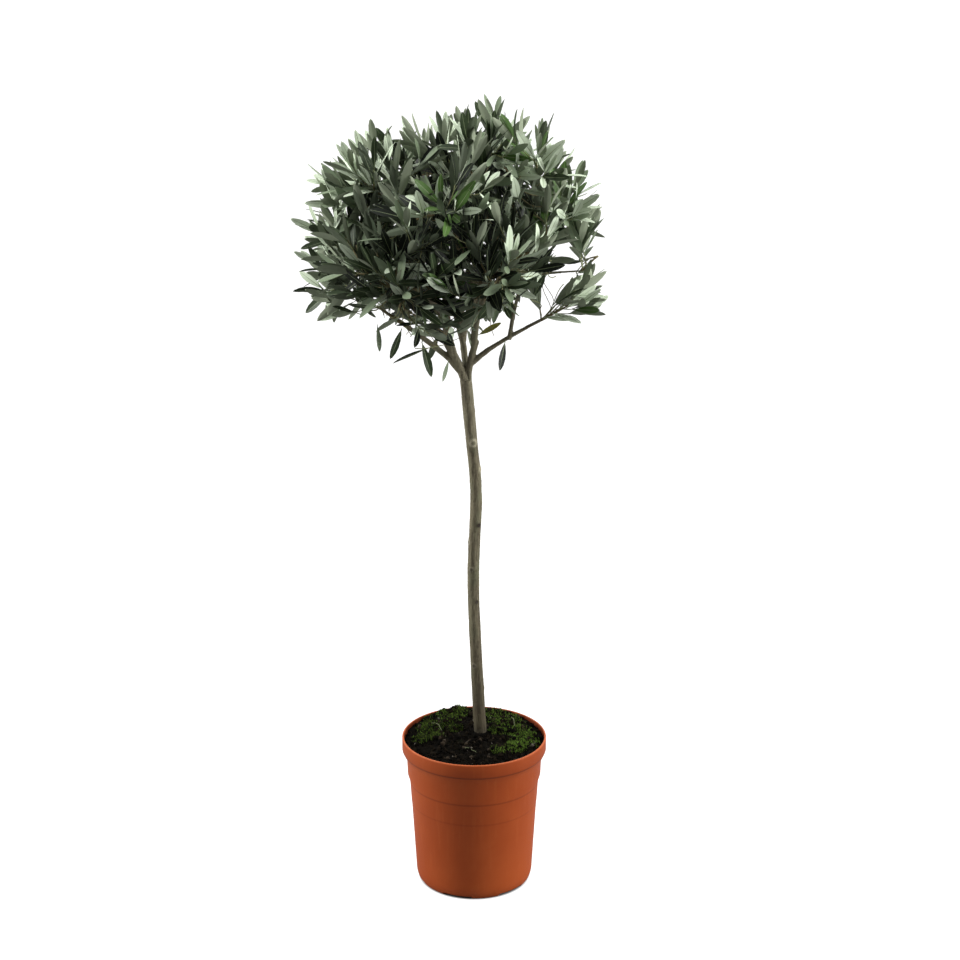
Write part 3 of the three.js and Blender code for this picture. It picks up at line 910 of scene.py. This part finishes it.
class Mass:
    """A mass of leaves as the CAD has it: a closed surface seen from its middle."""

    def __init__(self, name):
        low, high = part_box(f"foliage_{name}")
        self.name = name
        self.low, self.high = np.array(low), np.array(high)
        self.middle = (self.low + self.high) / 2
        self.surface = cad_tree(f"foliage_{name}")

    def holds(self, point):
        if (point < self.low).any() or (point > self.high).any():
            return False
        out = Vector(point - self.middle)
        hit = self.surface.ray_cast(Vector(self.middle), out.normalized())[0]
        return hit is not None and (hit - Vector(self.middle)).length > out.length


def in_sky(point, room):
    """Whether a point is seen in one of the open places, made wider by some room."""
    eye = np.array(camera.location)
    seen = eye + (point - eye) * eye[1] / (eye[1] - point[1])
    return any(((seen[0] - x) / (half + room)) ** 2 + ((seen[2] - z) / (high + room)) ** 2 < 1
               for x, z, half, high in sky)


def in_crown(point):
    """Whether a point is in a mass of leaves, or in the valley between two."""
    if any(mass.holds(point) for mass in masses):
        return True
    close = [m for m in masses if m.surface.find_nearest(Vector(point), valley)[0] is not None]
    return len(close) > 1


def well_inside(point, inset):
    """Whether the crown goes on beyond a point, far along its growth and less to each side."""
    out = outward(point)
    side, third = two_across(out)
    # Over the fork shoots may end nearer to the crown's underside.
    down = point - np.array([0, 0, (0.45 if abs(point[0] + 0.02) < 0.095 else 1.15) * inset])
    return in_crown(down) and all(
        in_crown(point + unit(out + lean) * inset * (0.65 if lean.any() else 1))
        for lean in (0 * out, side, -side, third, -third))


def shoot_tips(chance):
    """Ends of shoots, spread evenly: close together outside the crown, further apart within."""
    chosen, places = {mass.name: [] for mass in masses}, np.empty((0, 3))
    for mass in masses:
        for _ in range(2600):
            point = mass.low + (mass.high - mass.low) * chance.random(3)
            share = min(1.0, reach_out(point) / 0.85) ** 2
            spacing = core_spacing + (rim_spacing - core_spacing) * share
            spacing *= sparse.get(mass.name, 1)
            if hypot(point[0] - crown_middle[0], point[1] - crown_middle[1]) > widest:
                continue
            if len(places) and np.linalg.norm(places - point, axis=1).min() < spacing:
                continue
            inset = tip_inset * thin.get(mass.name, 1) * (0.7 + 0.6 * chance.random())
            if in_sky(point, 0) or not in_crown(point) or not well_inside(point, inset):
                continue
            places = np.vstack([places, point])
            chosen[mass.name].append(point)
    return chosen


class Branching:
    """The twigs of one mass: points with a parent each, and the paths that join them."""

    def __init__(self, name):
        start, heading, self.start_radius = bough_ends[name]
        self.points, self.headings, self.parent = [start], [heading], [-1]
        self.shoots, self.bare = [], []

    def grow(self, origin, target, arriving):
        """A twig from one point of the branching to a target, bent at both ends."""
        begin = self.points[origin]
        reach = np.linalg.norm(target - begin)
        leaving = unit(self.headings[origin] * 0.55 + unit(target - begin))
        one, two = begin + leaving * reach * 0.35, target - arriving * reach * 0.35
        count = max(3, int(round(reach / step)))
        path = [origin]
        for i in range(1, count + 1):
            t = i / count
            spot = ((1 - t) ** 3 * begin + 3 * (1 - t) ** 2 * t * one
                    + 3 * (1 - t) * t * t * two + t ** 3 * target)
            self.headings.append(unit(spot - self.points[path[-1]]))
            self.points.append(spot)
            self.parent.append(path[-1])
            path.append(len(self.points) - 1)
        return path

    def nearest(self, target):
        """The point to branch from: not too close, and not so that the twig has to turn back."""
        gap = target - np.array(self.points)
        length = np.linalg.norm(gap, axis=1)
        turn = 1 - (gap * np.array(self.headings)).sum(1) / (length + 1e-9)
        cost = length * (1 + 0.9 * turn) + 4 * np.maximum(0, shortest_shoot - length)
        return int(np.argmin(cost))

    def thicken(self):
        """Radius at every point, from the number of shoots that it carries."""
        carried = np.zeros(len(self.points))
        for path in self.shoots:
            point = path[-1]
            while point >= 0:
                carried[point] += 1
                point = self.parent[point]
        self.carried = carried
        self.radii = np.minimum(self.start_radius, twig_radius * np.maximum(carried, 1) ** 0.47)
        for i, point in enumerate(self.main[:7]):
            self.radii[point] += (self.start_radius - self.radii[point]) * (1 - i / 7)


def branch(mass, tips, chance):
    """Grows the twigs of a mass from the end of its bough to every shoot tip."""
    tree = Branching(mass.name)
    core = mass.middle + outward(mass.middle) * 0.006
    tree.main = tree.grow(0, core, unit(outward(core) + tree.headings[0]))
    for tip in sorted(tips, key=lambda p: np.linalg.norm(p - core)):
        origin = tree.nearest(tip)
        arriving = unit(outward(tip) + 0.6 * unit(tip - tree.points[origin])
                        + chance.normal(size=3) * 0.2)
        tree.shoots.append(tree.grow(origin, tip, arriving))
    tree.thicken()
    old_wood = tree.main[2:] + [i for path in tree.shoots for i in path[1:-4]]
    for _ in range(int(twiggy.get(mass.name, bare_share) * len(tips))):
        origin = old_wood[chance.integers(len(old_wood))]
        side, third = two_across(tree.headings[origin])
        turn = chance.random() * 2 * pi
        way = unit(tree.headings[origin] * (0.3 + 0.7 * chance.random()) + side * cos(turn)
                   + third * sin(turn))
        length = 0.014 + 0.034 * chance.random()
        target = tree.points[origin] + way * length
        if not in_crown(target) or reach_out(target) > 0.74:
            continue
        tree.bare.append(tree.grow(origin, target, unit(way + outward(target) * 0.7)))
    spare = len(tree.points) - len(tree.radii)
    tree.radii = np.concatenate([tree.radii, np.full(spare, bare_radius)])
    return tree


def twig_piece(mass, tree):
    """All the twigs of a mass in one piece: brown old wood and olive-green young shoots."""
    sides = 6
    corners, faces, shades = [], [], []
    for path in [tree.main] + tree.shoots + tree.bare:
        points = np.array([tree.points[i] for i in path])
        thick = [tree.radii[path[1]]] + [tree.radii[i] for i in path[1:]]
        side = two_across(points[1] - points[0])[0]
        start = len(corners)
        for i, place in enumerate(points):
            onward = unit(points[min(i + 1, len(points) - 1)] - points[max(i - 1, 0)])
            side = unit(side - onward * np.dot(side, onward))
            third = np.cross(onward, side)
            corners += [place + (side * cos(k * pi / 3) + third * sin(k * pi / 3)) * thick[i]
                        for k in range(sides)]
        quads = ring_faces(len(points), sides, start)
        faces.append(quads)
        young = np.array([tree.carried[i] < 2 for i in path[1:]] if path in tree.shoots
                         else [False] * (len(path) - 1))
        shades.append(np.concatenate([np.repeat(young, sides),
                                      np.full(len(quads) - sides * len(young), young[-1])]))
    return joined_piece(f"twigs_{mass.name}", np.array(corners), np.concatenate(faces),
                        np.concatenate(shades), twig_materials, "bark")


def shoot_leaves(leaves, tree, path, chance):
    """Pairs of leaves along the end of a shoot, closing up to a tuft at its tip. Each is its
    seat, the way it points, its upper side, its length and its tone."""
    points = np.array([tree.points[i] for i in path])
    heads = np.array([tree.headings[i] for i in path])
    along = np.concatenate([[0], np.cumsum(np.linalg.norm(np.diff(points, axis=0), axis=1))])
    tip = points[-1]
    # More light falls on shoots at the top, at the outside and on the right; they get paler tones,
    # a painted light, and shoots inside the crown get darker ones, a painted shade.
    light = min(1.0, hypot((tip[0] - crown_middle[0]) / 0.18, max(0.0, (tip[2] - 0.96) / 0.10)))
    light = (0.13 + 0.87 * light) * min(1.0, max(0.0, (reach_out(tip) - 0.35) / 0.4))
    light = min(1.08, light + 0.55 * min(1.0, max(0.0, (tip[0] - 0.04) / 0.08)))
    shares = tone_core * (1 - light) + tone_rim * light
    shares = shares / shares.sum()
    tone = chance.choice(len(tone_names), p=shares)
    turn = chance.random() * pi
    back = 0.0
    while back < min(along[-1] - 0.003, leafy_length):
        at = along[-1] - back
        spot = np.array([np.interp(at, along, points[:, axis]) for axis in range(3)])
        heading = unit(np.array([np.interp(at, along, heads[:, axis]) for axis in range(3)]))
        side, third = two_across(heading)
        age = min(1.0, back / 0.035)
        for half in (0, pi):
            if back > 0.015 and chance.random() < 0.06 + 0.3 * (back / leafy_length) ** 2:
                continue
            angle = turn + half + chance.normal() * 0.2
            out = side * cos(angle) + third * sin(angle)
            open_by = radians(20 + 34 * age + chance.normal() * 8)
            way = unit(heading * cos(open_by) + out * sin(open_by) + np.array([0, 0, leaf_lift]))
            size = leaf_length[0] + (leaf_length[1] - leaf_length[0]) * chance.random()
            size *= 0.76 + 0.24 * min(1.0, back / 0.014)
            above = unit(heading - way * np.dot(heading, way))
            sky = np.array([0, 0, 1.0]) - way * way[2]
            up = unit(above + 0.5 * sky + 0.4 * np.cross(way, above) * chance.normal())
            own = tone
            if chance.random() < mixed_shoots:
                own = chance.choice(len(tone_names), p=shares)
            if any(in_sky(spot + way * size * share, 0.002) for share in (0.4, 0.75, 1.0)):
                continue
            twiggy_place = hypot((tip[0] + 0.02) / 0.09, (tip[2] - 0.850) / 0.050) < 1
            if twiggy_place and chance.random() < skipped_low:
                continue
            end = spot + way * size
            if (end < cad_box[0] - longest_stray).any() or (end > cad_box[1] + longest_stray).any():
                continue
            leaves.append((spot + out * 0.0005, way, up, size, own))
        turn += pi / 2 + chance.normal() * 0.15
        back += joint_spacing + joint_spacing * min(1.0, back / 0.02) + 0.003 * chance.random()


def leaf_blanks(lengths, widths, folds, bends, twists):
    """Corner places of leaves that lie along +X with their upper side to +Z."""
    along = np.array([s[0] for s in leaf_stations])[None, :]
    outline = np.array([s[1] for s in leaf_stations])[None, :]
    lengths, widths, folds, bends, twists = (v[:, None] for v in (lengths, widths, folds, bends,
                                                                  twists))
    half = widths / 2 * outline
    rib = np.minimum(rib_half * (1.25 - along), half * 0.6)
    rim, crest, keel = folds * half, 0.00012 + 0 * half, -0.00042 + 0 * half
    places = np.zeros((len(lengths), len(leaf_stations), leaf_ring, 3))
    twist, sag = twists * along, bends * lengths * along ** 2
    for k, (y, z) in enumerate(((-half, rim), (-rib, crest), (rib, crest), (half, rim),
                                (rib, keel), (-rib, keel))):
        places[:, :, k, 0] = lengths * along * (1 - 0.12 * np.abs(bends) * along)
        places[:, :, k, 1] = y * np.cos(twist) - z * np.sin(twist)
        places[:, :, k, 2] = y * np.sin(twist) + z * np.cos(twist) - sag
    return places


def leaf_piece(mass, leaves, chance):
    """All the leaves of a mass in one piece."""
    seats, ways, ups, lengths, tones = (np.array(row) for row in zip(*leaves))
    count = len(seats)
    widths = lengths * leaf_slim * (0.86 + 0.28 * chance.random(count))
    blanks = leaf_blanks(lengths, widths, 0.08 + 0.2 * chance.random(count),
                         chance.normal(0.05, 0.09, count), chance.normal(0, 0.22, count))
    lefts = np.cross(ups, ways)
    lefts /= np.linalg.norm(lefts, axis=1)[:, None]
    turns = np.stack([ways, lefts, np.cross(ways, lefts)], axis=2)
    corners = np.einsum("nij,nrkj->nrki", turns, blanks) + seats[:, None, None, :]
    per_leaf = len(leaf_stations) * leaf_ring
    faces = (leaf_unit[None] + (np.arange(count) * per_leaf)[:, None, None]).reshape(-1, 4)
    # Undersides of deep and olive leaves are the dim silver; for the deep ones this dim copy is a
    # painted shade.
    lower = np.where(tones > 1, silver, silver + 1)
    looks = np.stack([tones, np.full(count, silver + 2), lower], axis=1)
    piece = joined_piece(f"leaves_{mass.name}", corners, faces, looks[:, leaf_kinds].reshape(-1),
                         leaf_materials, "leaves")
    # The two sides of a leaf are shaded apart along its margin.
    ends = np.empty(len(piece.data.edges) * 2, np.int32)
    piece.data.edges.foreach_get("vertices", ends)
    ends = ends.reshape(-1, 2) % leaf_ring
    margin = (ends[:, 0] == ends[:, 1]) & ((ends[:, 0] == 0) | (ends[:, 0] == 3))
    piece.data.attributes.new("sharp_edge", "BOOLEAN", "EDGE").data.foreach_set("value", margin)
    return piece


# Of the six strips round a leaf, two are the upper blade (0), one the rib on it (1), and three
# the underside (2).
leaf_unit = ring_faces(len(leaf_stations), leaf_ring, 0)[:, ::-1]
leaf_kinds = np.array([0, 1, 0, 2, 2, 2] * (len(leaf_stations) - 1) + [0, 0, 2, 2])

# Upper-side tones. The near-black deep tone, dealt mostly inside the crown, is a painted shade; the
# pale tone, dealt mostly to lit shoots outside, is a painted light.
leaf_tops = {"deep": (0.0055, 0.0090, 0.0042), "olive": (0.026, 0.041, 0.017),
             "grey": (0.140, 0.180, 0.112), "pale": (0.455, 0.525, 0.395),
             "fresh": (0.052, 0.105, 0.022), "yellow": (0.200, 0.195, 0.035)}
tone_names = list(leaf_tops)
# Shares of the tones, in that order, deep in the crown and at its outside.
tone_core = np.array([0.837, 0.145, 0.015, 0.00, 0.003, 0.00])
tone_rim = np.array([0.08, 0.13, 0.29, 0.475, 0.025, 0.00])
leaf_materials = [plain_colour(f"leaf_{n}", c, 0.50, 0.18) for n, c in leaf_tops.items()]
leaf_materials += [plain_colour("leaf_silver", (0.200, 0.230, 0.160), 0.65, 0.15),
                   plain_colour("leaf_silver_dim", (0.058, 0.073, 0.045), 0.65, 0.15),
                   plain_colour("leaf_rib", (0.150, 0.185, 0.095), 0.5, 0.4)]
silver = len(tone_names)
twig_materials = [plain_colour("twig_bark", (0.125, 0.104, 0.050), 0.8, 0.2),
                  plain_colour("twig_green", (0.160, 0.172, 0.076), 0.65, 0.3)]

# Single leaves under the crown, placed one by one, most of them clear of any twig: the mass each
# counts to, its stalk, its tip and its tone.
hanging = [("lower_left", (-0.131, -0.030, 0.846), (-0.127, -0.036, 0.809), "grey"),
           ("lower_left", (-0.098, -0.020, 0.838), (-0.112, -0.040, 0.800), "olive"),
           ("lower_left", (-0.172, -0.030, 0.864), (-0.206, -0.040, 0.860), "pale"),
           ("lower_left", (-0.071, -0.024, 0.820), (-0.057, -0.044, 0.776), "olive"),
           ("lower_front", (-0.034, -0.030, 0.796), (-0.043, -0.040, 0.768), "grey"),
           ("lower_front", (0.006, -0.034, 0.832), (0.036, -0.046, 0.851), "yellow"),
           ("lower_right", (0.043, -0.020, 0.820), (0.035, -0.034, 0.782), "deep"),
           ("lower_right", (0.096, -0.020, 0.853), (0.140, -0.034, 0.856), "pale"),
           ("lower_back", (-0.050, 0.050, 0.812), (-0.062, 0.066, 0.772), "olive"),
           ("lower_back", (-0.010, 0.060, 0.818), (0.004, 0.078, 0.784), "grey")]

chance = np.random.default_rng(crown_seed)
masses = [Mass(name) for name in mass_names]
tips = shoot_tips(chance)
for mass in masses:
    tree = branch(mass, tips[mass.name], chance)
    leaves = []
    for path in tree.shoots:
        shoot_leaves(leaves, tree, path, chance)
    for owner, stalk, tip, tone in hanging:
        if owner == mass.name:
            way = np.array(tip) - np.array(stalk)
            up = np.array([0.45, -0.8 if stalk[1] < 0.02 else 0.8, 0.4])
            up = unit(up - unit(way) * np.dot(up, unit(way)))
            leaves.append((np.array(stalk), unit(way), up, np.linalg.norm(way),
                           tone_names.index(tone)))
    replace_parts(leaf_piece(mass, leaves, chance), f"foliage_{mass.name}")
    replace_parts(twig_piece(mass, tree), f"foliage_{mass.name}")
